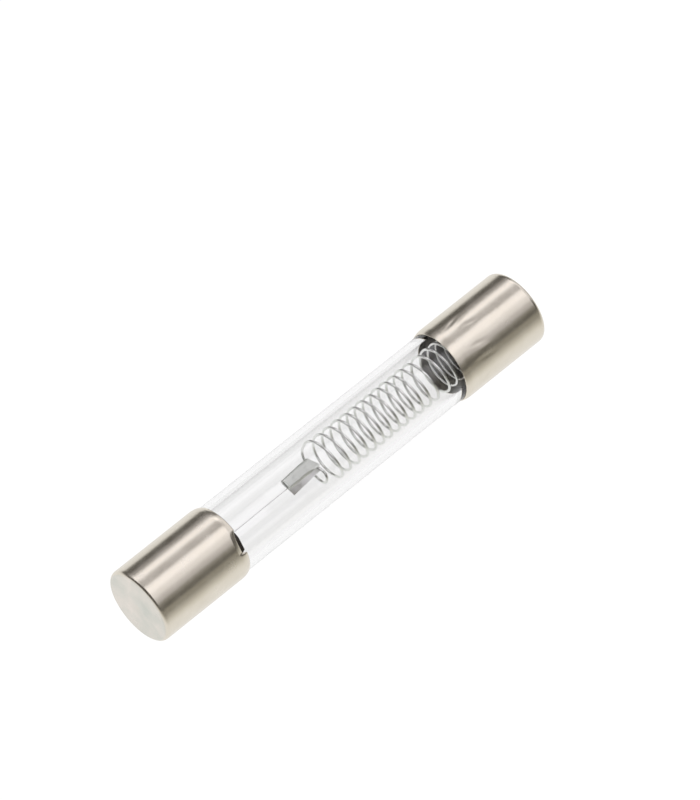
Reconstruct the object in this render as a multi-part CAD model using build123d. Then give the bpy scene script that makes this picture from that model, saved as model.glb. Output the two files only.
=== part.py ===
"""Spring-loaded cartridge fuse, 6.35 x 40 mm, for a small high-voltage supply.

The fuse lies along X with its middle at the origin: the fusible wire's end is at -X, the
spring's end at +X, and +Z is up.  A glass tube carries a drawn metal cap on each end.  The
wire runs along the axis from the solder in the -X cap to a small folded clip.  The stretched
spring holds the clip's other end and is soldered into the +X cap, so it draws the clip along
the tube once the wire has melted.  All lengths are in millimetres.
"""
from build123d import *
import math
import os

# ---- driving dimensions ----
FUSE_LENGTH = 40.0
CAP_DIAMETER = 6.35
CAP_LENGTH = 8.55
CAP_WALL = 0.16
CAP_FLOOR = 0.28
CAP_EDGE_RADIUS = 0.4        # outside, round the closed end
CAP_CORNER_RADIUS = 0.12     # inside, round the floor
LIP_RADIUS = 1.5             # the mouth is drawn in on this radius
LIP_TURN = 25.0              # through this many degrees
LIP_CLEARANCE = 0.01         # between the mouth and the glass

TUBE_DIAMETER = 5.93
TUBE_BORE = 4.74
TUBE_LENGTH = 38.0
TUBE_EDGE_RADIUS = 0.2       # the ends are melted round
CEMENT_SETBACK = 0.65        # the cement stops this far inside the cap's mouth

FUSE_WIRE_DIAMETER = 0.07
WIRE_START_DEPTH = 0.55      # from the cap's outer face to the wire's end
SOLDER_POOL_RADIUS = 2.05
SOLDER_POOL_EDGE = 0.3       # height of the pool at its rim
SOLDER_DOME_OUT = 0.55       # the dome's middle point: this share of the pool's radius out
SOLDER_DOME_UP = 0.62        # and this share of the way up from its rim to its top
WIRE_POOL_HEIGHT = 1.2
SPRING_POOL_HEIGHT = 0.9

SPRING_WIRE_DIAMETER = 0.21
SPRING_DIAMETER = 3.76       # outside
SPRING_PITCH = 0.86
SPRING_START = -1.21         # where the first full turn is at its top
SPRING_END_DEPTH = 0.75      # from the cap's outer face to the coil's end
JOINT_BALL_RADIUS = 0.115    # blends the coil into its tail

# The clip hangs in its own frame: x along the fuse, y across the leaves, z towards its fold.
CLIP_ROLL = -62.0            # degrees about X, from the fuse's frame to the clip's
CLIP_LEFT = -4.65
CLIP_RIGHT = -1.55
CLIP_TOP = 0.87
CLIP_SHEET = 0.12
CLIP_GAP = 0.26              # between the leaves, at the fold
CLIP_SPLAY = 4.0             # degrees that each leaf leans outwards
FRONT_LEAF_DEPTH = 0.12      # below the fuse's axis
BACK_LEAF_DEPTH_LEFT = 0.76
BACK_LEAF_DEPTH_RIGHT = 0.5
CLIP_SOLDER_LENGTH = 1.35
CLIP_SOLDER_INSET = 0.2      # from the clip's left end
CLIP_SOLDER_TOP = 0.28
CLIP_SOLDER_BOTTOM = -0.18
CLIP_SOLDER_SPACE = 0.01     # between the solder and each leaf
CLIP_SOLDER_ROUND = 0.3      # its edges' radius, as a share of its width
RELEASE_CLEARANCE = 0.025    # round the wire, in the solder that lets it go

# The spring's tail is a smaller last turn and a straight end that lies between the leaves.
# Its corners, from the coil's top, are (x, y, z) in the clip's frame.
TAIL_CORNERS = [
    (-1.30, 0.80, 1.74),
    (-1.50, 1.34, 0.95),
    (-1.62, 1.34, -0.10),
    (-1.72, 0.95, -0.98),
    (-1.78, 0.30, -1.42),
    (-1.74, -0.28, -1.20),
    (-1.66, -0.42, -0.70),
    (-1.72, 0.0, -0.22),
    (-2.15, 0.0, 0.0),
    (-2.90, 0.0, 0.0),
]
TAIL_ROUND = 0.45            # share of the shorter run that each corner's arc takes up

# ---- worked-out dimensions ----
HALF_LENGTH = FUSE_LENGTH / 2
CAP_RADIUS = CAP_DIAMETER / 2
CAP_BORE_RADIUS = CAP_RADIUS - CAP_WALL
LIP_LENGTH = LIP_RADIUS * math.sin(math.radians(LIP_TURN))
LIP_DROP = LIP_RADIUS * (1 - math.cos(math.radians(LIP_TURN)))
TUBE_RADIUS = TUBE_DIAMETER / 2
BORE_RADIUS = TUBE_BORE / 2
SPRING_WIRE_RADIUS = SPRING_WIRE_DIAMETER / 2
SPRING_RADIUS = SPRING_DIAMETER / 2 - SPRING_WIRE_RADIUS
CLIP_MIDDLE = (CLIP_LEFT + CLIP_RIGHT) / 2
CLIP_LENGTH = CLIP_RIGHT - CLIP_LEFT
FOLD_RADIUS = CLIP_GAP / 2 + CLIP_SHEET
FOLD_HEIGHT = CLIP_TOP - FOLD_RADIUS

CLIP_FRAME = Rotation(CLIP_ROLL, 0, 0)


def turned(*edges):
    """The solid swept by a closed outline in the XY plane as it turns about X."""
    return revolve(make_face(Curve() + list(edges)), Axis.X)


def at_other_end(solid):
    """The same piece at the +X end."""
    return mirror(solid, about=Plane.YZ)


def end_cap():
    """Drawn cup at the -X end: an edge radius at the floor and a mouth drawn in to the glass."""
    face = -HALF_LENGTH
    mouth = face + CAP_LENGTH
    inner_face = face + CAP_FLOOR
    lip_start = mouth - LIP_LENGTH
    lip_inner = TUBE_RADIUS + LIP_CLEARANCE
    edge = CAP_EDGE_RADIUS
    corner = CAP_CORNER_RADIUS
    return turned(
        Line((face, 0), (face, CAP_RADIUS - edge)),
        TangentArc((face, CAP_RADIUS - edge), (face + edge, CAP_RADIUS), tangent=(0, 1)),
        Line((face + edge, CAP_RADIUS), (lip_start, CAP_RADIUS)),
        TangentArc((lip_start, CAP_RADIUS), (mouth, CAP_RADIUS - LIP_DROP), tangent=(1, 0)),
        Line((mouth, CAP_RADIUS - LIP_DROP), (mouth, lip_inner)),
        Line((mouth, lip_inner), (lip_start, CAP_BORE_RADIUS)),
        Line((lip_start, CAP_BORE_RADIUS), (inner_face + corner, CAP_BORE_RADIUS)),
        TangentArc((inner_face + corner, CAP_BORE_RADIUS),
                   (inner_face, CAP_BORE_RADIUS - corner), tangent=(-1, 0)),
        Line((inner_face, CAP_BORE_RADIUS - corner), (inner_face, 0)),
        Line((inner_face, 0), (face, 0)),
    )


def glass_tube():
    """Thick-walled tube with its four end edges melted round."""
    wall = TUBE_RADIUS - BORE_RADIUS
    outline = Pos(0, (TUBE_RADIUS + BORE_RADIUS) / 2) * Rectangle(TUBE_LENGTH, wall)
    return revolve(fillet(outline.vertices(), TUBE_EDGE_RADIUS), Axis.X)


def end_cement():
    """Thin sleeve that fills the space between the -X cap and the glass."""
    start = -TUBE_LENGTH / 2 + TUBE_EDGE_RADIUS
    end = -HALF_LENGTH + CAP_LENGTH - CEMENT_SETBACK
    return turned(
        Line((start, TUBE_RADIUS), (start, CAP_BORE_RADIUS)),
        Line((start, CAP_BORE_RADIUS), (end, CAP_BORE_RADIUS)),
        Line((end, CAP_BORE_RADIUS), (end, TUBE_RADIUS)),
        Line((end, TUBE_RADIUS), (start, TUBE_RADIUS)),
    )


def solder_pool(height):
    """Domed pool of solder on the -X cap's floor, inside the tube's bore."""
    floor = -HALF_LENGTH + CAP_FLOOR
    rim = floor + SOLDER_POOL_EDGE
    middle_radius = SOLDER_POOL_RADIUS * SOLDER_DOME_OUT
    middle_height = SOLDER_POOL_EDGE + (height - SOLDER_POOL_EDGE) * SOLDER_DOME_UP
    return turned(
        Line((floor, 0), (floor, SOLDER_POOL_RADIUS)),
        Line((floor, SOLDER_POOL_RADIUS), (rim, SOLDER_POOL_RADIUS)),
        ThreePointArc((rim, SOLDER_POOL_RADIUS), (floor + middle_height, middle_radius),
                      (floor + height, 0)),
        Line((floor + height, 0), (floor, 0)),
    )


def fuse_wire():
    """Straight thin wire from the -X cap's solder into the clip's solder."""
    start = -HALF_LENGTH + WIRE_START_DEPTH
    end = CLIP_LEFT + CLIP_SOLDER_INSET + CLIP_SOLDER_LENGTH - RELEASE_CLEARANCE
    middle = (start + end) / 2
    return Pos(middle, 0, 0) * Rot(0, 90, 0) * Cylinder(FUSE_WIRE_DIAMETER / 2, end - start)


def leaf(depth_left, depth_right):
    """One leaf on the +Y side, down from the fold, with a sloping lower edge."""
    top = FOLD_HEIGHT
    outline = Polyline((CLIP_LEFT, top), (CLIP_RIGHT, top), (CLIP_RIGHT, -depth_right),
                       (CLIP_LEFT, -depth_left), close=True)
    plate = extrude(Plane.XZ * make_face(outline), CLIP_SHEET, dir=(0, 1, 0))
    hinge = Axis((0, 0, top), (1, 0, 0))
    return Pos(0, CLIP_GAP / 2, 0) * plate.rotate(hinge, CLIP_SPLAY)


def crimp_clip():
    """Sheet folded over along the axis: a half-round fold with a short and a long leaf."""
    across = Plane.YZ * Pos(0, FOLD_HEIGHT)
    bend = across * (Circle(FOLD_RADIUS) - Circle(CLIP_GAP / 2))
    lower_half = Plane.YZ * Pos(0, FOLD_HEIGHT - FOLD_RADIUS) * Rectangle(
        2 * FOLD_RADIUS, 2 * FOLD_RADIUS)
    fold = Pos(CLIP_LEFT, 0, 0) * extrude(bend - lower_half, CLIP_LENGTH, dir=(1, 0, 0))
    back = leaf(BACK_LEAF_DEPTH_LEFT, BACK_LEAF_DEPTH_RIGHT)
    front = mirror(leaf(FRONT_LEAF_DEPTH, FRONT_LEAF_DEPTH), about=Plane.XZ)
    return CLIP_FRAME * (fold + back + front)


def clip_solder():
    """Bar of solder between the leaves, with a clear hole that the wire leaves by."""
    height = CLIP_SOLDER_TOP - CLIP_SOLDER_BOTTOM
    width = CLIP_GAP - 2 * CLIP_SOLDER_SPACE
    bar = Box(CLIP_SOLDER_LENGTH, width, height)
    bar = fillet(bar.edges().filter_by(Axis.X), width * CLIP_SOLDER_ROUND)
    left = CLIP_LEFT + CLIP_SOLDER_INSET
    bar = Pos(left + CLIP_SOLDER_LENGTH / 2, 0, CLIP_SOLDER_BOTTOM + height / 2) * bar
    hole = Pos(left + CLIP_SOLDER_LENGTH / 2, 0, 0) * Rot(0, 90, 0) * Cylinder(
        FUSE_WIRE_DIAMETER / 2 + RELEASE_CLEARANCE, 2 * CLIP_SOLDER_LENGTH)
    return CLIP_FRAME * (bar - hole)


def corner_radii(points, share):
    """A radius for each inner corner: a share of the shorter run over tan(half the turn)."""
    radii = []
    for before, corner, after in zip(points, points[1:], points[2:]):
        arriving = Vector(*corner) - Vector(*before)
        leaving = Vector(*after) - Vector(*corner)
        half_turn = arriving.get_angle(leaving) / 2
        run = min(arriving.length, leaving.length)
        radii.append(share * run / math.tan(math.radians(half_turn)))
    return radii


def tension_spring():
    """Right-handed coil, its smaller last turn behind the clip, and the tail in the clip."""
    # the coil's own frame has its axis along Z and starts on +X, which is the clip's +Z
    end = HALF_LENGTH - SPRING_END_DEPTH
    coil_frame = Plane(origin=(SPRING_START, 0, 0), x_dir=(0, 0, 1), z_dir=(1, 0, 0))
    centre_line = Helix(SPRING_PITCH, end - SPRING_START, SPRING_RADIUS)
    start = Plane(origin=centre_line @ 0, z_dir=centre_line % 0)
    coil = sweep(start * Circle(SPRING_WIRE_RADIUS), path=centre_line, is_frenet=True)

    corners = [(SPRING_START, 0.0, SPRING_RADIUS)] + TAIL_CORNERS
    tail_line = FilletPolyline(*corners, radius=corner_radii(corners, TAIL_ROUND))
    tail_start = Plane(origin=tail_line @ 0, z_dir=tail_line % 0)
    tail = sweep(tail_start * Circle(SPRING_WIRE_RADIUS), path=tail_line)
    joint = Pos(SPRING_START, 0, SPRING_RADIUS) * Sphere(JOINT_BALL_RADIUS)
    return CLIP_FRAME * (coil_frame.location * coil + joint + tail)


def main():
    """Build every piece and write one STEP file for each."""
    wire = fuse_wire()
    spring = tension_spring()
    cap = end_cap()
    cement = end_cement()
    pieces = {
        "glass_tube": glass_tube(),
        "wire_end_cap": cap,
        "spring_end_cap": at_other_end(cap),
        "wire_end_cement": cement,
        "spring_end_cement": at_other_end(cement),
        "wire_end_solder": solder_pool(WIRE_POOL_HEIGHT) - wire,
        "spring_end_solder": at_other_end(solder_pool(SPRING_POOL_HEIGHT)) - spring,
        "fuse_wire": wire,
        "tension_spring": spring,
        "crimp_clip": crimp_clip(),
        "clip_solder": clip_solder(),
    }
    os.makedirs("parts", exist_ok=True)
    for name, piece in pieces.items():
        export_step(piece, f"parts/{name}.step")
        print(f"{name}: {piece.volume:.3f} mm3, {len(piece.solids())} solid(s)")


main()
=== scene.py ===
"""Looks of a spring-loaded glass cartridge fuse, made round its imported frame.

The fuse lies along X: the fusible wire's end is at -X, the spring's end at +X.  Every piece is
a surface worked out from a formula as whole arrays, in metres, in the frame's own place.
"""
import math

import bpy
import bmesh
import numpy as np
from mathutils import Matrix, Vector


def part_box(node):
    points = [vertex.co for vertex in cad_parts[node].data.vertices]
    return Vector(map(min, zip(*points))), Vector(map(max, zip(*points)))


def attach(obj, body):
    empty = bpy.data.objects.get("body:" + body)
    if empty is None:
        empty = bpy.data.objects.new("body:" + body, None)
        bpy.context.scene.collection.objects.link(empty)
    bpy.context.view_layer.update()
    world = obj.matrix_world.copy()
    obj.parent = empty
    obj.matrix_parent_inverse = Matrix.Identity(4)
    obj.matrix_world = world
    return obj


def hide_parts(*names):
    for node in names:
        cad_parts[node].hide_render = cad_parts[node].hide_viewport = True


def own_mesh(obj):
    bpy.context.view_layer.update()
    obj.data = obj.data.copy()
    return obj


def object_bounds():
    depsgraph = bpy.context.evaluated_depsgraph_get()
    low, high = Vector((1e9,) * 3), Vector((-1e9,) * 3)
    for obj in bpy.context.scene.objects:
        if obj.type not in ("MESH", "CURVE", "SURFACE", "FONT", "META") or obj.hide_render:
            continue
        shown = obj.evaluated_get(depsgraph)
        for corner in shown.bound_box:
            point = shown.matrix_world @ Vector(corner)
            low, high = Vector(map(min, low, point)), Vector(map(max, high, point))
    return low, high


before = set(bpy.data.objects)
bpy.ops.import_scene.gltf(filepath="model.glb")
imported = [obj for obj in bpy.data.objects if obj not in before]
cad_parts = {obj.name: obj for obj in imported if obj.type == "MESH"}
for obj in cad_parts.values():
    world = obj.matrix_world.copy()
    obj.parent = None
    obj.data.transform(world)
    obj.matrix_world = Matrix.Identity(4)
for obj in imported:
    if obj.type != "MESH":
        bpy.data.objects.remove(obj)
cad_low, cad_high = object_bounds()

MM = 0.001
TURN = 2 * math.pi

# ---- sizes read from the frame ----
cap_low, cap_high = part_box("wire_end_cap")
tube_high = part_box("glass_tube")[1]
cement_low, cement_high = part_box("wire_end_cement")
pool_low, pool_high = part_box("wire_end_solder")
far_pool_low, far_pool_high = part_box("spring_end_solder")
wire_low, wire_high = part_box("fuse_wire")
spring_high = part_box("tension_spring")[1]
bar_low, bar_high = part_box("clip_solder")

CAP_FACE = cap_low.x                      # the wire end's outer face
CAP_MOUTH = cap_high.x
CAP_RADIUS = cap_high.z
CAP_FLOOR = pool_low.x                    # inner face of the cap's floor
CAP_BORE_RADIUS = cement_high.z
TUBE_RADIUS = tube_high.z
TUBE_END = tube_high.x
TUBE_BORE_RADIUS = 2.37 * MM
CAP_CLEARANCE = 0.006 * MM                # the barrel is this much thinner, for its small waves
WIRE_END_REACH = 0.10 * MM                # the wire end's mouth lies this much nearer the middle
SPRING_END_REACH = -0.12 * MM             # and the spring end's this much further from it
SHORT_SIDE = math.radians(-62.0)          # where the spring end's mouth is cut back most
CEMENT_SETBACK = 0.72 * MM                # the cement ends this far inside the cap's mouth
CEMENT_TONGUE = 0.83 * MM                 # and comes this much further out in the lip's notch
SPRING_FIXED_END = spring_high.x - 0.1 * MM
CLIP_ROLL = math.radians(-62.0)           # the clip's fold leans over towards +Y


# ---------------------------------------------------------------- surfaces

def arc(centre_x, centre_r, radius, start, stop, count):
    """Arc of a circle in the (x, r) plane; angles in degrees, 0 towards +x, 90 towards +r."""
    angle = np.radians(np.linspace(start, stop, count))
    return np.column_stack((centre_x + radius * np.cos(angle), centre_r + radius * np.sin(angle)))


def run(start, stop, count):
    """Evenly spaced points from start to stop in the (x, r) plane, both ends included."""
    share = np.linspace(0.0, 1.0, count)[:, None]
    return np.asarray(start) * (1 - share) + np.asarray(stop) * share


def grid_faces(rows, columns, close_rows, close_columns):
    """Corner numbers of the quads of a rows by columns grid, wrapped round where it is closed."""
    row = np.arange(rows if close_rows else rows - 1)
    column = np.arange(columns if close_columns else columns - 1)
    row, column = np.meshgrid(row, column, indexing="ij")
    below, beside = (row + 1) % rows, (column + 1) % columns
    corners = (row * columns + column, below * columns + column,
               below * columns + beside, row * columns + beside)
    return np.stack(corners, axis=-1).reshape(-1, 4)


def make_piece(name, points, faces, crease_angle=40.0):
    """Mesh object from point and quad arrays, its doubles merged and its faces turned out."""
    mesh = bpy.data.meshes.new(name)
    mesh.vertices.add(len(points))
    mesh.vertices.foreach_set("co", np.ascontiguousarray(points, np.float32).ravel())
    mesh.loops.add(faces.size)
    mesh.loops.foreach_set("vertex_index", faces.astype(np.int32).ravel())
    mesh.polygons.add(len(faces))
    mesh.polygons.foreach_set("loop_start", np.arange(0, faces.size, 4, dtype=np.int32))
    mesh.update(calc_edges=True)
    mesh.validate()
    work = bmesh.new()
    work.from_mesh(mesh)
    bmesh.ops.remove_doubles(work, verts=work.verts, dist=2e-7)
    bmesh.ops.dissolve_degenerate(work, edges=work.edges, dist=1e-8)
    bmesh.ops.recalc_face_normals(work, faces=work.faces)
    work.to_mesh(mesh)
    work.free()
    mesh.polygons.foreach_set("use_smooth", np.ones(len(mesh.polygons), bool))
    mesh.set_sharp_from_angle(angle=math.radians(crease_angle))
    piece = bpy.data.objects.new(name, mesh)
    bpy.context.scene.collection.objects.link(piece)
    return piece


def lathe(name, profile, segments=192, loop=False, wobble=None, crease_angle=40.0):
    """A profile turned about X: (x, r) goes to (x, -r sin a, r cos a) for a round the circle.

    wobble(x, r, a) may return (x, r) a little off the plain profile.
    """
    angle = np.linspace(0.0, TURN, segments, endpoint=False)
    along, turn = np.meshgrid(np.arange(len(profile)), angle, indexing="ij")
    x, r = profile[along, 0], profile[along, 1]
    if wobble is not None:
        x, r = wobble(x, r, turn)
    points = np.stack((x, -r * np.sin(turn), r * np.cos(turn)), axis=-1).reshape(-1, 3)
    faces = grid_faces(len(profile), segments, loop, True)
    return make_piece(name, points, faces, crease_angle)


def round_wire(name, centre, radius, sides=20):
    """A circle carried along a centre line, with half-round ends.

    At each station the circle lies square to the line: its two axes are tangent x reference
    and that crossed with the tangent.  The end rings shrink as cos b while they move out by
    radius times sin b, for b from a right angle to none.
    """
    tangent = np.gradient(centre, axis=0)
    tangent /= np.linalg.norm(tangent, axis=1)[:, None]
    cap = np.linspace(math.pi / 2, 0.0, 6)[:-1]
    radius = np.broadcast_to(radius, len(centre))
    shift = np.concatenate((-radius[0] * np.sin(cap), np.zeros(len(centre)),
                            radius[-1] * np.sin(cap[::-1])))
    size = np.concatenate((radius[0] * np.cos(cap), radius, radius[-1] * np.cos(cap[::-1])))
    repeat = np.concatenate((np.zeros(len(cap), int), np.arange(len(centre)),
                             np.full(len(cap), len(centre) - 1)))
    tangent = tangent[repeat]
    middle = centre[repeat] + tangent * shift[:, None]
    side = np.cross(tangent, (0.86, 0.36, 0.36))
    side /= np.linalg.norm(side, axis=1)[:, None]
    other = np.cross(side, tangent)
    angle = np.linspace(0.0, TURN, sides, endpoint=False)
    ring = (side[:, None] * np.cos(angle)[:, None] + other[:, None] * np.sin(angle)[:, None])
    points = (middle[:, None] + ring * size[:, None, None]).reshape(-1, 3)
    return make_piece(name, points, grid_faces(len(middle), sides, False, True))


def smooth_through(corners, per_span):
    """Catmull-Rom curve: between two corners, the cubic whose slope at each corner is half the
    step from the corner before it to the corner after it."""
    corners = np.asarray(corners, float)
    ends = (2 * corners[0] - corners[1], 2 * corners[-1] - corners[-2])
    knots = np.vstack((ends[0], corners, ends[1]))
    share = np.linspace(0.0, 1.0, per_span, endpoint=False)[None, :, None]
    before, start, stop, after = (knots[i:len(knots) - 3 + i][:, None] for i in range(4))
    curve = 0.5 * (2 * start + (stop - before) * share
                   + (2 * before - 5 * start + 4 * stop - after) * share ** 2
                   + (3 * start - before - 3 * stop + after) * share ** 3)
    return np.vstack((curve.reshape(-1, 3), corners[-1]))


def roll(points):
    """From the clip's own frame, with its fold on top, to the fuse's: a turn about X."""
    cosine, sine = math.cos(CLIP_ROLL), math.sin(CLIP_ROLL)
    x, y, z = np.moveaxis(np.asarray(points), -1, 0)
    return np.stack((x, y * cosine - z * sine, y * sine + z * cosine), axis=-1)


def ease(value, start, stop):
    """0 before start, 1 after stop, and 3t^2 - 2t^3 between them."""
    share = np.clip((value - start) / (stop - start), 0.0, 1.0)
    return share * share * (3 - 2 * share)


# ---------------------------------------------------------------- materials

def material(name, **sockets):
    """New material with a Principled shader; sockets holds its fixed values by input name."""
    made = bpy.data.materials.new(name)
    made.use_nodes = True
    shader = made.node_tree.nodes["Principled BSDF"]
    for socket, value in sockets.items():
        shader.inputs[socket.replace("_", " ")].default_value = value
    return made, made.node_tree.nodes, made.node_tree.links, shader


def stretched_coordinates(nodes, links, scale):
    """Object coordinates, scaled by one factor for each axis, in 1/m."""
    place = nodes.new("ShaderNodeTexCoord")
    mapping = nodes.new("ShaderNodeMapping")
    mapping.inputs["Scale"].default_value = scale
    links.new(place.outputs["Object"], mapping.inputs["Vector"])
    return mapping.outputs["Vector"]


def noise(nodes, links, vector, scale, detail=4.0, roughness=0.6):
    """Noise texture on that vector; returns its value, from 0 to 1."""
    node = nodes.new("ShaderNodeTexNoise")
    node.inputs["Scale"].default_value = scale
    node.inputs["Detail"].default_value = detail
    node.inputs["Roughness"].default_value = roughness
    links.new(vector, node.inputs["Vector"])
    return node.outputs["Fac"]


def distance_from_middle(nodes, links, vector):
    """How far along the fuse a point is from its middle: the size of the vector's x."""
    split = nodes.new("ShaderNodeSeparateXYZ")
    links.new(vector, split.inputs["Vector"])
    size = nodes.new("ShaderNodeMath")
    size.operation = "ABSOLUTE"
    links.new(split.outputs["X"], size.inputs[0])
    return size.outputs["Value"]


def spread(nodes, links, value, low, high, from_low=0.3, from_high=0.7):
    """The value from_low..from_high taken to low..high."""
    node = nodes.new("ShaderNodeMapRange")
    node.inputs["From Min"].default_value = from_low
    node.inputs["From Max"].default_value = from_high
    node.inputs["To Min"].default_value = low
    node.inputs["To Max"].default_value = high
    links.new(value, node.inputs["Value"])
    return node.outputs["Result"]


def blend_colours(nodes, links, value, first, second):
    """first where the value is 0, second where it is 1; each is a colour or a socket."""
    node = nodes.new("ShaderNodeMix")
    node.data_type = "RGBA"
    for name, colour in (("A", first), ("B", second)):
        if isinstance(colour, tuple):
            node.inputs[name].default_value = (*colour, 1.0)
        else:
            links.new(colour, node.inputs[name])
    links.new(value, node.inputs["Factor"])
    return node.outputs["Result"]


def bump(nodes, links, height, distance, strength=1.0, under=None):
    """Bump from a height value, distance metres high where the value is 1."""
    node = nodes.new("ShaderNodeBump")
    node.inputs["Distance"].default_value = distance
    node.inputs["Strength"].default_value = strength
    links.new(height, node.inputs["Height"])
    if under is not None:
        links.new(under, node.inputs["Normal"])
    return node.outputs["Normal"]


def nickel_plate():
    """Warm nickel over drawn brass: cloudy tone, fine grain and faint draw lines on the barrel,
    and a greyer, mottled satin on the two end faces, told by their distance from the middle."""
    made, nodes, links, shader = material("nickel_plate", Metallic=1.0)
    plain = stretched_coordinates(nodes, links, (1.0, 1.0, 1.0))
    along = stretched_coordinates(nodes, links, (0.08, 1.0, 1.0))
    cloud = noise(nodes, links, plain, 650.0, 5.0)
    lines = noise(nodes, links, along, 9000.0, 2.0)
    grain = noise(nodes, links, plain, 26000.0, 3.0)
    tone = spread(nodes, links, cloud, 0.0, 1.0)
    barrel = blend_colours(nodes, links, tone, (0.70, 0.648, 0.552), (0.755, 0.705, 0.612))
    mottle = spread(nodes, links, noise(nodes, links, plain, 400.0, 6.0, 0.65), 0.0, 1.0)
    satin = blend_colours(nodes, links, mottle, (0.595, 0.603, 0.547), (0.775, 0.717, 0.653))
    face = spread(nodes, links, distance_from_middle(nodes, links, plain), 0.0, 1.0,
                  -CAP_FACE - 0.08 * MM, -CAP_FACE - 0.03 * MM)
    links.new(blend_colours(nodes, links, face, barrel, satin), shader.inputs["Base Color"])
    links.new(spread(nodes, links, cloud, 0.22, 0.28), shader.inputs["Roughness"])
    drawn = bump(nodes, links, lines, 0.6e-6)
    links.new(bump(nodes, links, grain, 0.5e-6, under=drawn), shader.inputs["Normal"])
    return made


def tube_glass():
    """Clear soda glass with faint draw lines along the tube."""
    made, nodes, links, shader = material(
        "tube_glass", Base_Color=(0.973, 0.972, 0.971, 1.0), Transmission_Weight=1.0,
        IOR=1.50, Specular_IOR_Level=0.12, Roughness=0.0)
    along = stretched_coordinates(nodes, links, (0.03, 1.0, 1.0))
    lines = noise(nodes, links, along, 1500.0, 2.0)
    links.new(bump(nodes, links, lines, 0.5e-6), shader.inputs["Normal"])
    return made


def spring_steel():
    """Plated spring wire: a soft cloud of tone and fine grain."""
    made, nodes, links, shader = material("spring_steel", Metallic=1.0)
    plain = stretched_coordinates(nodes, links, (1.0, 1.0, 1.0))
    cloud = noise(nodes, links, plain, 1400.0, 3.0)
    grain = noise(nodes, links, plain, 30000.0, 3.0)
    tone = spread(nodes, links, cloud, 0.0, 1.0)
    links.new(blend_colours(nodes, links, tone, (0.77, 0.78, 0.755), (0.86, 0.87, 0.845)),
              shader.inputs["Base Color"])
    links.new(spread(nodes, links, grain, 0.18, 0.26), shader.inputs["Roughness"])
    links.new(bump(nodes, links, grain, 0.8e-6), shader.inputs["Normal"])
    return made


def silvered_wire():
    """Thin silvered fusible wire."""
    made, nodes, links, shader = material("silvered_wire", Metallic=1.0)
    plain = stretched_coordinates(nodes, links, (0.3, 1.0, 1.0))
    cloud = noise(nodes, links, plain, 6000.0, 3.0)
    tone = spread(nodes, links, cloud, 0.0, 1.0)
    links.new(blend_colours(nodes, links, tone, (0.86, 0.855, 0.85), (0.93, 0.925, 0.92)),
              shader.inputs["Base Color"])
    links.new(spread(nodes, links, cloud, 0.28, 0.4), shader.inputs["Roughness"])
    return made


def tinned_sheet():
    """Tinned clip sheet: matt, with rolling grain along it and small blotches, and painted
    lighter below the fuse's axis as the clip leans, painted light over the lower strip that lies
    in shade."""
    made, nodes, links, shader = material("tinned_sheet", Metallic=1.0)
    plain = stretched_coordinates(nodes, links, (1.0, 1.0, 1.0))
    along = stretched_coordinates(nodes, links, (0.15, 1.0, 1.0))
    blotch = noise(nodes, links, plain, 2400.0, 4.0)
    grain = noise(nodes, links, along, 22000.0, 2.0)
    tone = spread(nodes, links, blotch, 0.0, 1.0)
    blotched_tone = blend_colours(nodes, links, tone, (0.70, 0.72, 0.67), (0.80, 0.82, 0.77))
    height = nodes.new("ShaderNodeVectorMath")
    height.operation = "DOT_PRODUCT"
    links.new(plain, height.inputs[0])
    height.inputs[1].default_value = (0.0, -math.sin(CLIP_ROLL), math.cos(CLIP_ROLL))
    # painted light: the sheet's colour goes to a brighter tin below the fuse's axis, lifting the
    # shaded lower strip
    painted_light_below = spread(nodes, links, height.outputs["Value"], 1.0, 0.0, -0.22 * MM, -0.12 * MM)
    links.new(blend_colours(nodes, links, painted_light_below, blotched_tone, (0.85, 0.85, 0.83)),
              shader.inputs["Base Color"])
    matt = spread(nodes, links, blotch, 0.44, 0.56)
    low = spread(nodes, links, height.outputs["Value"], 0.62, 1.0, -0.05 * MM, 0.08 * MM)
    roughness = nodes.new("ShaderNodeMath")
    roughness.operation = "MULTIPLY"
    links.new(matt, roughness.inputs[0])
    links.new(low, roughness.inputs[1])
    links.new(roughness.outputs["Value"], shader.inputs["Roughness"])
    links.new(bump(nodes, links, grain, 1.5e-6), shader.inputs["Normal"])
    return made


def frosted_solder():
    """Tin solder: bright, with a frosted crystal skin."""
    made, nodes, links, shader = material("frosted_solder", Metallic=1.0)
    plain = stretched_coordinates(nodes, links, (1.0, 1.0, 1.0))
    cells = nodes.new("ShaderNodeTexVoronoi")
    cells.inputs["Scale"].default_value = 5200.0
    links.new(plain, cells.inputs["Vector"])
    cloud = noise(nodes, links, plain, 1800.0, 4.0)
    tone = spread(nodes, links, cloud, 0.0, 1.0)
    links.new(blend_colours(nodes, links, tone, (0.58, 0.585, 0.59), (0.72, 0.72, 0.71)),
              shader.inputs["Base Color"])
    links.new(spread(nodes, links, cloud, 0.26, 0.46), shader.inputs["Roughness"])
    links.new(bump(nodes, links, cells.outputs["Distance"], 4e-6), shader.inputs["Normal"])
    return made


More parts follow.
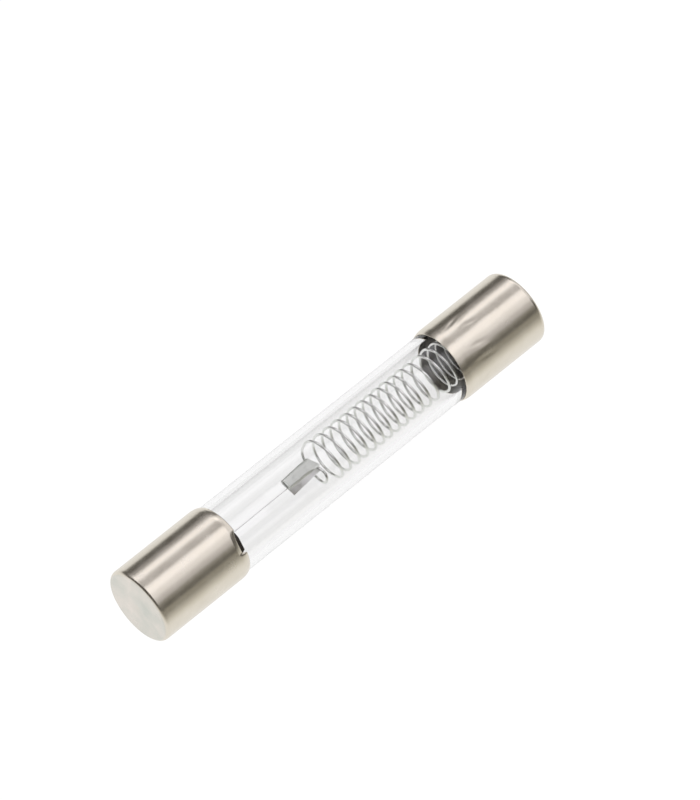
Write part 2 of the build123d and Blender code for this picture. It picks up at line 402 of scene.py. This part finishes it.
def amber_cement():
    """Thin resin cement: milky and pale where it is a film, and near black towards the caps'
    mouths, painted shade for the dark gap between the lip and the glass.
    """
    made, nodes, links, shader = material(
        "amber_cement", Transmission_Weight=0.35, IOR=1.5, Specular_IOR_Level=0.5)
    plain = stretched_coordinates(nodes, links, (1.0, 1.0, 1.0))
    cloud = noise(nodes, links, plain, 1500.0, 4.0)
    tone = spread(nodes, links, cloud, 0.0, 1.0)
    film = blend_colours(nodes, links, tone, (0.80, 0.75, 0.66), (0.94, 0.90, 0.82))
    # painted shade: near black up to 0.8 mm inside the caps' mouths, fading to the pale film by
    # 1.15 mm
    painted_shade_tone = blend_colours(nodes, links, tone, (0.018, 0.012, 0.008), (0.05, 0.034, 0.022))
    inside = spread(nodes, links, distance_from_middle(nodes, links, plain), 0.0, 1.0,
                    -CAP_MOUTH + 0.80 * MM, -CAP_MOUTH + 1.15 * MM)
    links.new(blend_colours(nodes, links, inside, painted_shade_tone, film), shader.inputs["Base Color"])
    links.new(spread(nodes, links, cloud, 0.35, 0.55), shader.inputs["Roughness"])
    links.new(bump(nodes, links, cloud, 6e-6), shader.inputs["Normal"])
    return made


# ---------------------------------------------------------------- pieces

def place(piece, finish, slot, *nodes, body="fuse_body"):
    """Gives a piece its finish, hangs it on the body it rides on and hides the frame's parts that
    it stands for.
    """
    piece.data.materials.append(finish)
    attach(piece, body)
    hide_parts(*nodes)
    return piece


def glass_tube():
    """Tube turned from its wall's outline: two straight walls joined by half-melted ends."""
    edge = 0.26 * MM
    wall_middle = (TUBE_RADIUS + TUBE_BORE_RADIUS) / 2
    straight = TUBE_END - edge
    inner_edge = TUBE_BORE_RADIUS + edge
    outer_edge = TUBE_RADIUS - edge
    profile = np.vstack((
        run((-straight, TUBE_RADIUS), (straight, TUBE_RADIUS), 120),
        arc(straight, outer_edge, edge, 90, 0, 8)[1:],
        [(TUBE_END, wall_middle)],
        arc(straight, inner_edge, edge, 0, -90, 8),
        run((straight, TUBE_BORE_RADIUS), (-straight, TUBE_BORE_RADIUS), 120)[1:],
        arc(-straight, inner_edge, edge, 270, 180, 8)[1:],
        [(-TUBE_END, wall_middle)],
        arc(-straight, outer_edge, edge, 180, 90, 8)[:-1],
    ))
    return lathe("glass_tube_drawn", profile, 256, loop=True)


def cap_profile(mouth):
    """Outline of the drawn cup's wall, from the middle of its face round to its floor.

    The face is crowned by a hair and has a very shallow punched centre, a bell of
    exp(-(r / 0.55 mm)^2).  The mouth is rolled in on part of a circle, its
    edge is broken, and the inner wall closes on the glass there and then runs back to the floor.
    """
    edge = 0.4 * MM
    corner = 0.12 * MM
    crown_height = 0.012 * MM
    punch_depth, punch_radius = 0.045 * MM, 0.55 * MM
    lip_radius, lip_turn = 1.5 * MM, 25.5
    lip_length = lip_radius * math.sin(math.radians(lip_turn))
    lip_drop = lip_radius * (1 - math.cos(math.radians(lip_turn)))
    lip_start = mouth - lip_length - 0.005 * MM
    rim_radius = 0.035 * MM
    rim_inner = TUBE_RADIUS + 0.012 * MM
    face_r = np.linspace(0.0, CAP_RADIUS - edge, 60)
    punch = punch_depth * np.exp(-(face_r / punch_radius) ** 2)
    crown = crown_height * (1 - (face_r / face_r[-1]) ** 2)
    face = np.column_stack((CAP_FACE + crown_height + punch - crown, face_r))
    rim_middle = max(CAP_RADIUS - lip_drop - 1.6 * rim_radius, rim_inner + rim_radius)
    return np.vstack((
        face,
        arc(CAP_FACE + edge, CAP_RADIUS - edge, edge, 180, 90, 14)[1:],
        run((CAP_FACE + edge, CAP_RADIUS), (lip_start, CAP_RADIUS), 110)[1:],
        arc(lip_start, CAP_RADIUS - lip_radius, lip_radius, 90, 90 - lip_turn, 14)[1:],
        arc(mouth - rim_radius, rim_middle, rim_radius, 30, -90, 6),
        run((mouth - 2 * rim_radius, rim_inner), (lip_start, CAP_BORE_RADIUS), 4),
        run((lip_start, CAP_BORE_RADIUS), (CAP_FLOOR + corner, CAP_BORE_RADIUS), 40)[1:],
        arc(CAP_FLOOR + corner, CAP_BORE_RADIUS - corner, corner, 90, 180, 6)[1:],
        run((CAP_FLOOR, CAP_BORE_RADIUS - corner), (CAP_FLOOR, 0.0), 12)[1:],
    ))


def dent(x, angle, place, turn, length, width, slant):
    """Soft bell, 1 at (place, turn) and falling as exp(-u^2 - v^2): u runs along the slanted
    length of the dent and v across it, both on the barrel's unrolled surface."""
    along = x - place * MM
    around = (np.mod(angle - math.radians(turn) + math.pi, TURN) - math.pi) * CAP_RADIUS
    cosine, sine = math.cos(math.radians(slant)), math.sin(math.radians(slant))
    u = (along * cosine + around * sine) / (length * MM)
    v = (around * cosine - along * sine) / (width * MM)
    return np.exp(-u * u - v * v)


# Handling dents near the mouth of the spring end's cap: depth in micrometres, less than 0 where
# the metal is pushed up; place along the fuse in mm; turn from the top in degrees; length and
# width in mm; slant in degrees.
DENTS = [
    (22, 13.6, -14, 0.75, 0.16, -12),
    (-12, 14.1, -4, 0.60, 0.18, -14),
    (16, 14.6, 4, 0.55, 0.15, 8),
    (20, 13.9, 34, 0.70, 0.17, 10),
    (-14, 14.3, 44, 0.65, 0.18, 6),
    (24, 14.0, 56, 0.80, 0.17, 5),
    (10, 15.6, 20, 0.90, 0.35, 0),
    (9, 12.6, 50, 0.50, 0.30, 20),
]


def from_top(angle):
    """The angle round the fuse in degrees, from -180 to 180."""
    return np.mod(np.degrees(angle) + 180, 360) - 180


def notch(angle):
    """How far the wire end's lip stops short: 0.42 mm times 1 - exp(-d / 8), d being degrees past
    26 from the top, and back to none between 59 and 65."""
    degrees = from_top(angle)
    grown = 1 - np.exp(-np.clip(degrees - 26, 0, None) / 8)
    return 0.42 * MM * grown * (1 - ease(degrees, 59, 65))


def cap(name, sign):
    """Drawn cup; sign is -1 for the wire's end and +1 for the spring's end.

    Its radius strays by a few thousandths of a millimetre in two slow waves round it.  The
    spring end's mouth is cut a little out of square and its barrel has small dents.  The wire
    end's lip stops short by the notch(angle), and the cement's near-black tongue fills it as
    painted shade.
    """
    reach = WIRE_END_REACH if sign < 0 else SPRING_END_REACH
    profile = cap_profile(CAP_MOUTH + reach) * (-sign, 1.0)

    def wobble(x, r, angle):
        stray = 0.004 * MM * np.sin(2 * angle + 0.7) + 0.003 * MM * np.sin(3 * angle)
        barrel = ease(r, 0.8 * CAP_BORE_RADIUS, CAP_BORE_RADIUS)
        if sign < 0:
            x = x - notch(angle) * ease(x, CAP_MOUTH - 0.95 * MM, CAP_MOUTH - 0.05 * MM)
        else:
            pressed = sum(row[0] * dent(x, angle, *row[1:]) for row in DENTS) * 1e-6
            stray = stray - pressed
            near_mouth = 1 - ease(x, -CAP_MOUTH + 0.3 * MM, -CAP_MOUTH + 3.0 * MM)
            x = x + 0.10 * MM * near_mouth * np.cos(angle - SHORT_SIDE)
        return x, r + stray * barrel - CAP_CLEARANCE * (r > 0.99 * CAP_RADIUS)

    return lathe(name, profile, 320, wobble=wobble)


def cement_ring(name, sign):
    """Sleeve of cement between cap and glass, ending in a hollow, uneven bead at the mouth.

    Through the notch in the wire end's lip it reaches almost to the rest of the lip, a near-black
    tongue that is painted shade in the notch.
    """
    clear = 0.003 * MM
    inner, outer = TUBE_RADIUS + clear, CAP_BORE_RADIUS - clear
    start, end = cement_low.x, CAP_MOUTH - CEMENT_SETBACK
    share = np.linspace(0.0, 1.0, 9)
    meniscus = np.column_stack((end - 0.10 * MM * np.sin(math.pi * share),
                                outer + (inner - outer) * share))
    profile = np.vstack((
        run((start, inner), (start, outer), 4),
        run((start, outer), (end, outer), 60)[1:-1],
        meniscus,
        run((end, inner), (start, inner), 60)[1:-1],
    )) * (-sign, 1.0)

    def wobble(x, r, angle):
        bead = ease(np.abs(x), abs(CAP_MOUTH) + 1.2 * MM, abs(CAP_MOUTH) + CEMENT_SETBACK)
        waves = np.sin(3 * angle + sign) + 0.6 * np.sin(7 * angle) + 0.3 * np.sin(16 * angle)
        x = x + sign * 0.035 * MM * bead * (waves + 1.9)
        if sign < 0:
            degrees = from_top(angle)
            out = ease(degrees, 24, 30) * (1 - ease(degrees, 59, 64)) * bead
            x = x + CEMENT_TONGUE * out
        return x, r

    return lathe(name, profile, 160, loop=True, wobble=wobble)


def solder_pool(name, low, high, sign):
    """Dome of solder on a cap's floor, on an upright skirt: its height over the skirt falls as
    (1 - (r/R)^2)^0.8, with slow ripples."""
    radius = high.z
    floor = abs(high.x if sign > 0 else low.x)
    top = abs(low.x if sign > 0 else high.x)
    skirt = 0.3 * MM
    ring = radius * np.linspace(0.0, 1.0, 40)
    dome = top + (floor - top - skirt) * (1 - (1 - (ring / radius) ** 2) ** 0.8)
    profile = np.vstack((
        np.column_stack((dome, ring)),
        run((dome[-1], radius), (floor, radius), 5)[1:],
        run((floor, radius), (floor, 0.0), 10)[1:],
    )) * (sign, 1.0)

    def wobble(x, r, angle):
        middle = ease(r / radius, 0.1, 0.5) * (1 - ease(r / radius, 0.85, 1.0))
        ripple = np.sin(3 * angle + 5 * r / radius) + 0.5 * np.sin(5 * angle)
        return x + sign * 0.03 * MM * middle * ripple * (np.abs(x) < floor - 0.2 * MM), r

    return lathe(name, profile, 96, wobble=wobble)


def fuse_wire():
    """Thin wire on the axis with a slight slow bow, as a wire pulled nearly straight keeps."""
    x = np.linspace(wire_low.x, wire_high.x, 160)
    share = (x - x[0]) / (x[-1] - x[0])
    fade = np.sin(math.pi * share)
    bow = 0.035 * MM * fade * np.sin(2.2 * math.pi * share + 0.4)
    sway = 0.03 * MM * fade * np.sin(3.1 * math.pi * share)
    centre = np.column_stack((x, bow, sway - 0.02 * MM * fade))
    return round_wire("fuse_wire_drawn", centre, (wire_high.z - wire_low.z) / 2, 16)


SPRING_WIRE_RADIUS = 0.105 * MM
SPRING_RADIUS = spring_high.z - SPRING_WIRE_RADIUS - 0.004 * MM
FIRST_TOP = -1.207 * MM       # x where the coil first passes its top
PITCH = 0.832 * MM
EXTRA_LEAD = 0.43 * MM        # the first turns are drawn out by this much in all
LEAD_TURNS = 2.4
WIDE_GAP = 0.33 * MM          # the thirteenth turn is wider by this much

# The coil's reduced last turn and its straight end, as (x, y, z) in the clip's frame, in mm.
TAIL = [
    (-1.36, 0.90, 1.62),
    (-1.52, 1.26, 1.02),
    (-1.62, 1.30, 0.10),
    (-1.72, 1.00, -0.88),
    (-1.78, 0.38, -1.41),
    (-1.73, -0.24, -1.29),
    (-1.66, -0.47, -0.80),
    (-1.65, -0.16, -0.31),
    (-1.86, 0.0, -0.03),
    (-2.30, 0.0, 0.0),
    (-2.90, 0.0, 0.0),
]


def coil(turns):
    """Centre line of the coil in the clip's frame, a right-handed helix from its first top.

    Along the fuse it goes pitch times turns, plus a lead that grows as tanh(turns / 2.4), a
    wider gap in its thirteenth turn and a bulge of exp(-((turns - 0.6) / 0.25)^2) in its first.
    Its radius starts a little large, which fades as exp(-turns / 0.7), and wanders by a hair.
    """
    angle = TURN * turns
    x = FIRST_TOP + PITCH * turns + EXTRA_LEAD * np.tanh(turns / LEAD_TURNS)
    x = x + WIDE_GAP * ease(turns, 12.3, 13.4)
    x = x + 0.13 * MM * np.exp(-((turns - 0.6) / 0.25) ** 2)
    radius = SPRING_RADIUS + 0.07 * MM * np.exp(-turns / 0.7)
    radius = radius + 0.012 * MM * np.sin(angle * 0.37 + 1.0)
    return np.column_stack((x, -radius * np.sin(angle), radius * np.cos(angle)))


def tension_spring():
    """Spring wire along its tail, its reduced turn and the coil.

    The tail's curve starts inside the coil, so that it leaves it in line; that first span is
    then left out.
    """
    last = (SPRING_FIXED_END - FIRST_TOP - EXTRA_LEAD - WIDE_GAP) / PITCH
    points_per_turn = 72
    turns = np.linspace(0.0, last, int(last * points_per_turn))
    body = coil(turns)
    lead_in = coil(np.array([0.045, 0.0]))
    per_span = 14
    tail = smooth_through(np.vstack((lead_in, np.array(TAIL) * MM)), per_span)
    centre = np.vstack((tail[:per_span - 1:-1], body))
    return round_wire("tension_spring_wound", roll(centre), SPRING_WIRE_RADIUS, 18)


CLIP_GAP = 0.26 * MM
CLIP_SHEET = 0.12 * MM
CLIP_TOP = 0.90 * MM          # the fold's outside at the spring's end


def crimp_clip():
    """Sheet folded over the fuse's axis like a hairpin, as a closed shell.

    The section runs up the front leaf, half round the fold and down the back leaf.  Each leaf
    leans out by its splay, more so towards the left end, and is pressed in a little at two
    crimps.  The front leaf's lower edge curls in.  The sheet's two skins are that middle surface
    moved half its thickness each way along its normal.
    """
    along, across = 90, 76
    share, section = np.meshgrid(np.linspace(0, 1, along), np.linspace(-1, 1, across),
                                 indexing="ij")
    half = (CLIP_GAP + CLIP_SHEET) / 2
    top = CLIP_TOP - CLIP_SHEET / 2 - 0.145 * MM * (1 - share) ** 1.5
    bend = 0.16                                     # share of the section that is the fold
    fold_angle = np.clip(section / bend, -1, 1) * math.pi / 2
    front = section < 0
    depth = np.where(front, -0.10 - 0.03 * share, -0.71 + 0.25 * share) * MM
    drop = np.clip((np.abs(section) - bend) / (1 - bend), 0, 1)
    height = top - half
    z = np.where(drop > 0, height + (depth - height) * drop, height + half * np.cos(fold_angle))
    lean = np.where(front, 3.5 + 7.0 * (1 - share) ** 3, 3.0 + 12.0 * (1 - share) ** 2)
    side = np.where(front, -1.0, 1.0)
    leaning = (height - z) * (drop > 0) * np.tan(np.radians(lean))
    crimps = (np.exp(-((share - 0.30) / 0.07) ** 2) + np.exp(-((share - 0.74) / 0.08) ** 2))
    pressed = 0.035 * MM * crimps * np.sin(math.pi * np.clip(drop, 0, 1)) ** 2
    curl = 0.11 * MM * front * np.clip((drop - 0.78) / 0.22, 0, 1) ** 1.2
    curl = curl * (1 - ease(share, 0.65, 0.9))
    y = np.where(drop > 0, side * (half + leaning - pressed - curl), half * np.sin(fold_angle))
    left = np.where(front, -4.60, -4.65 + 0.34 * drop) * MM
    right = -1.48 * MM - 0.53 * np.maximum(z, -0.2 * MM)      # cut on a slant
    x = left + (right - left) * share
    y = y + 0.015 * MM * np.sin(9 * share + 2 * section)
    middle = np.stack((x, y, z), axis=-1)
    normal = np.cross(np.gradient(middle, axis=0), np.gradient(middle, axis=1))
    normal /= np.linalg.norm(normal, axis=-1)[..., None]
    skins = [middle + normal * CLIP_SHEET / 2, middle - normal * CLIP_SHEET / 2]
    count = along * across
    number = np.arange(count).reshape(along, across)
    quads = grid_faces(along, across, False, False)
    rim = np.concatenate((number[0, :-1], number[:-1, -1], number[-1, :0:-1], number[:0:-1, 0]))
    after = np.roll(rim, -1)
    edge = np.column_stack((rim, after, after + count, rim + count))
    points = np.concatenate([skin.reshape(-1, 3) for skin in skins])
    faces = np.vstack((quads, quads[:, ::-1] + count, edge))
    piece = make_piece("crimp_clip_folded", roll(points), faces, 30.0)
    bevel = piece.modifiers.new("broken edges", "BEVEL")
    bevel.width = 0.018 * MM
    bevel.segments = 2
    bevel.limit_method = "ANGLE"
    bevel.angle_limit = math.radians(50)
    return piece


def clip_solder():
    """Solder round the wire in the clip: a sleeve, oval outside, that thins to its ends."""
    inner = 0.055 * MM
    stations, sides = 40, 48
    share = np.linspace(0, 1, stations)
    swell = np.sin(math.pi * share) ** 0.35
    left, right = bar_low.x - 0.06 * MM, bar_high.x
    x = left + (right - left) * share
    angle = np.linspace(0, TURN, sides, endpoint=False)
    tall = 0.25 * MM * swell * (1 + 0.08 * np.sin(11 * share))
    wide = 0.115 * MM * np.maximum(swell, 0.7)
    outside = np.stack((
        np.broadcast_to(x[:, None], (stations, sides)),
        -np.sin(angle) * np.maximum(wide, inner * 1.15)[:, None],
        np.cos(angle) * np.maximum(tall, inner * 1.2)[:, None] + 0.04 * MM * swell[:, None],
    ), axis=-1)
    inside = np.stack((
        np.broadcast_to(x[::-1, None], (stations, sides)),
        -np.sin(angle) * inner * np.ones((stations, 1)),
        np.cos(angle) * inner * np.ones((stations, 1)),
    ), axis=-1)
    points = roll(np.concatenate((outside, inside))).reshape(-1, 3)
    faces = grid_faces(2 * stations, sides, True, True)
    return make_piece("clip_solder_bead", points, faces)


# ---------------------------------------------------------------- surroundings

PLAIN_WHITE = (1.0, 1.0, 1.0)
WARM_WHITE = (1.0, 0.96, 0.82)


def look_from(azimuth, elevation):
    """Unit vectors back, right and up of a camera at that azimuth and elevation in degrees."""
    a, e = math.radians(azimuth), math.radians(elevation)
    back = Vector((math.sin(a) * math.cos(e), -math.cos(a) * math.cos(e), math.sin(e)))
    right = Vector((math.cos(a), math.sin(a), 0.0))
    return back, right, back.cross(right)


def camera():
    """Long lens from the upper left of the fuse, aimed a little above and right of it."""
    distance = 0.450
    back, right, up = look_from(-44.65, 53.3)
    centre = (cad_low + cad_high) / 2
    aim = centre + right * 1.446 * MM + up * 4.075 * MM
    data = bpy.data.cameras.new("camera")
    data.lens = 269.4
    data.sensor_width = 36.0
    data.clip_start = 0.01
    data.clip_end = 20.0
    made = bpy.data.objects.new("camera", data)
    made.location = aim + back * distance
    made.rotation_mode = "QUATERNION"
    made.rotation_quaternion = back.to_track_quat("Z", "Y")
    bpy.context.scene.collection.objects.link(made)
    bpy.context.scene.camera = made


def floor():
    """Pale table under the fuse, lit evenly from within as a product table is.

    To the camera it is plain white.  To other rays its glow falls off and warms towards the
    front: it is a smooth step of incoming . (0, -0.35, 1), from its low value at -0.45 to full
    at 0.38.
    """
    half = 1.5
    dim_at, full_at = -0.45, 0.38
    corners = np.array([(-half, -half, 0), (half, -half, 0), (half, half, 0), (-half, half, 0)],
                       float)
    corners[:, 2] = cad_low.z - 0.002 * MM
    mesh = bpy.data.meshes.new("table")
    mesh.from_pydata(corners.tolist(), [], [(0, 1, 2, 3)])
    table = bpy.data.objects.new("table", mesh)
    bpy.context.scene.collection.objects.link(table)
    made, nodes, links, shader = material(
        "table_white", Base_Color=(0.06, 0.06, 0.06, 1.0), Roughness=1.0,
        Specular_IOR_Level=0.0, Emission_Color=(1.0, 1.0, 1.0, 1.0), Emission_Strength=0.93)
    view, rays = nodes.new("ShaderNodeNewGeometry"), nodes.new("ShaderNodeLightPath")
    slope = nodes.new("ShaderNodeVectorMath")
    slope.operation = "DOT_PRODUCT"
    links.new(view.outputs["Incoming"], slope.inputs[0])
    slope.inputs[1].default_value = (0.0, -0.35, 1.0)
    glow = nodes.new("ShaderNodeMapRange")
    glow.interpolation_type = "SMOOTHSTEP"
    glow.inputs["From Min"].default_value = dim_at
    glow.inputs["From Max"].default_value = full_at
    glow.inputs["To Min"].default_value = 0.27
    glow.inputs["To Max"].default_value = 0.94
    links.new(slope.outputs["Value"], glow.inputs["Value"])
    warmth = spread(nodes, links, slope.outputs["Value"], 0.0, 1.0, dim_at, full_at)
    tint = blend_colours(nodes, links, warmth, WARM_WHITE, PLAIN_WHITE)
    links.new(blend_colours(nodes, links, rays.outputs["Is Camera Ray"], tint, PLAIN_WHITE),
              shader.inputs["Emission Color"])
    brighter = nodes.new("ShaderNodeMath")
    brighter.operation = "MULTIPLY_ADD"
    brighter.use_clamp = True
    brighter.inputs[1].default_value = 1.0
    links.new(rays.outputs["Is Camera Ray"], brighter.inputs[0])
    links.new(glow.outputs["Result"], brighter.inputs[2])
    links.new(brighter.outputs["Value"], shader.inputs["Emission Strength"])
    mesh.materials.append(made)


def soft_panel(name, place, length, breadth, radiance, colour=(1.0, 0.985, 1.04)):
    """Rectangle of light at place that faces the fuse's middle, its length along X."""
    data = bpy.data.lights.new(name, "AREA")
    data.shape = "RECTANGLE"
    data.size = length
    data.size_y = breadth
    data.energy = radiance * math.pi * length * breadth
    data.color = colour
    panel = bpy.data.objects.new(name, data)
    panel.location = place
    panel.rotation_euler = Vector(place).to_track_quat("Z", "Y").to_euler()
    panel.visible_camera = False
    bpy.context.scene.collection.objects.link(panel)
    return panel


def strip_light(name, tilt, width, radiance, **colour):
    """Soft strip parallel to the fuse, over it at tilt degrees from straight up, towards +Y.

    width is the angle that it covers as seen from the fuse, and radiance its brightness.
    """
    distance, length = 0.8, 1.3
    breadth = 2 * distance * math.tan(math.radians(width) / 2)
    angle = math.radians(tilt)
    strip = soft_panel(name, (0.0, distance * math.sin(angle), distance * math.cos(angle)),
                       length, breadth, radiance, **colour)
    strip.rotation_euler = (-angle, 0.0, 0.0)


def room():
    """Pale backdrop to the eye, dim grey in reflections."""
    world = bpy.data.worlds.new("room")
    bpy.context.scene.world = world
    world.use_nodes = True
    nodes, links = world.node_tree.nodes, world.node_tree.links
    nodes.clear()
    output = nodes.new("ShaderNodeOutputWorld")
    mix = nodes.new("ShaderNodeMixShader")
    rays = nodes.new("ShaderNodeLightPath")
    dim, pale = nodes.new("ShaderNodeBackground"), nodes.new("ShaderNodeBackground")
    dim.inputs["Color"].default_value = (0.10, 0.095, 0.088, 1.0)
    pale.inputs["Color"].default_value = (1.0, 1.0, 1.0, 1.0)
    links.new(rays.outputs["Is Camera Ray"], mix.inputs["Fac"])
    links.new(dim.outputs["Background"], mix.inputs[1])
    links.new(pale.outputs["Background"], mix.inputs[2])
    links.new(mix.outputs["Shader"], output.inputs["Surface"])


def main():
    """Makes the surroundings, every piece and its finish."""
    view = bpy.context.scene.view_settings
    view.view_transform = "Standard"
    camera()
    floor()
    room()
    strip_light("back shoulder", 58.0, 14.0, 0.25)
    strip_light("back strip", 38.5, 21.0, 1.27)
    strip_light("gap fill", 18.0, 20.0, 0.46)
    strip_light("top strip", -8.0, 24.0, 1.27)
    strip_light("near fill", -29.0, 18.0, 0.93)
    strip_light("front fill", -46.0, 16.0, 0.56)
    strip_light("low fill", -60.0, 12.0, 0.14, colour=WARM_WHITE)
    strip_light("front low", -83.0, 10.0, 0.30, colour=WARM_WHITE)
    soft_panel("end panel", (0.80, 0.105, 0.49), 1.0, 0.6, 0.9)

    nickel, glass, cement = nickel_plate(), tube_glass(), amber_cement()
    steel, silver = spring_steel(), silvered_wire()
    tin, solder = tinned_sheet(), frosted_solder()
    place(glass_tube(), glass, "glass", "glass_tube")
    for end, sign in (("wire_end", -1), ("spring_end", 1)):
        place(cap(f"{end}_cap_drawn", sign), nickel, "cap_plating", f"{end}_cap")
        place(cement_ring(f"{end}_cement_bead", sign), cement, "cement", f"{end}_cement")
    place(solder_pool("wire_end_solder_pool", pool_low, pool_high, -1), solder, "solder",
          "wire_end_solder")
    place(solder_pool("spring_end_solder_pool", far_pool_low, far_pool_high, 1), solder,
          "solder", "spring_end_solder")
    place(fuse_wire(), silver, "fuse_wire", "fuse_wire")
    spring = place(tension_spring(), steel, "spring_wire", "tension_spring")
    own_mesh(spring)
    place(crimp_clip(), tin, "clip_sheet", "crimp_clip", body="crimp_link")
    place(clip_solder(), solder, "solder", "clip_solder", body="crimp_link")


main()
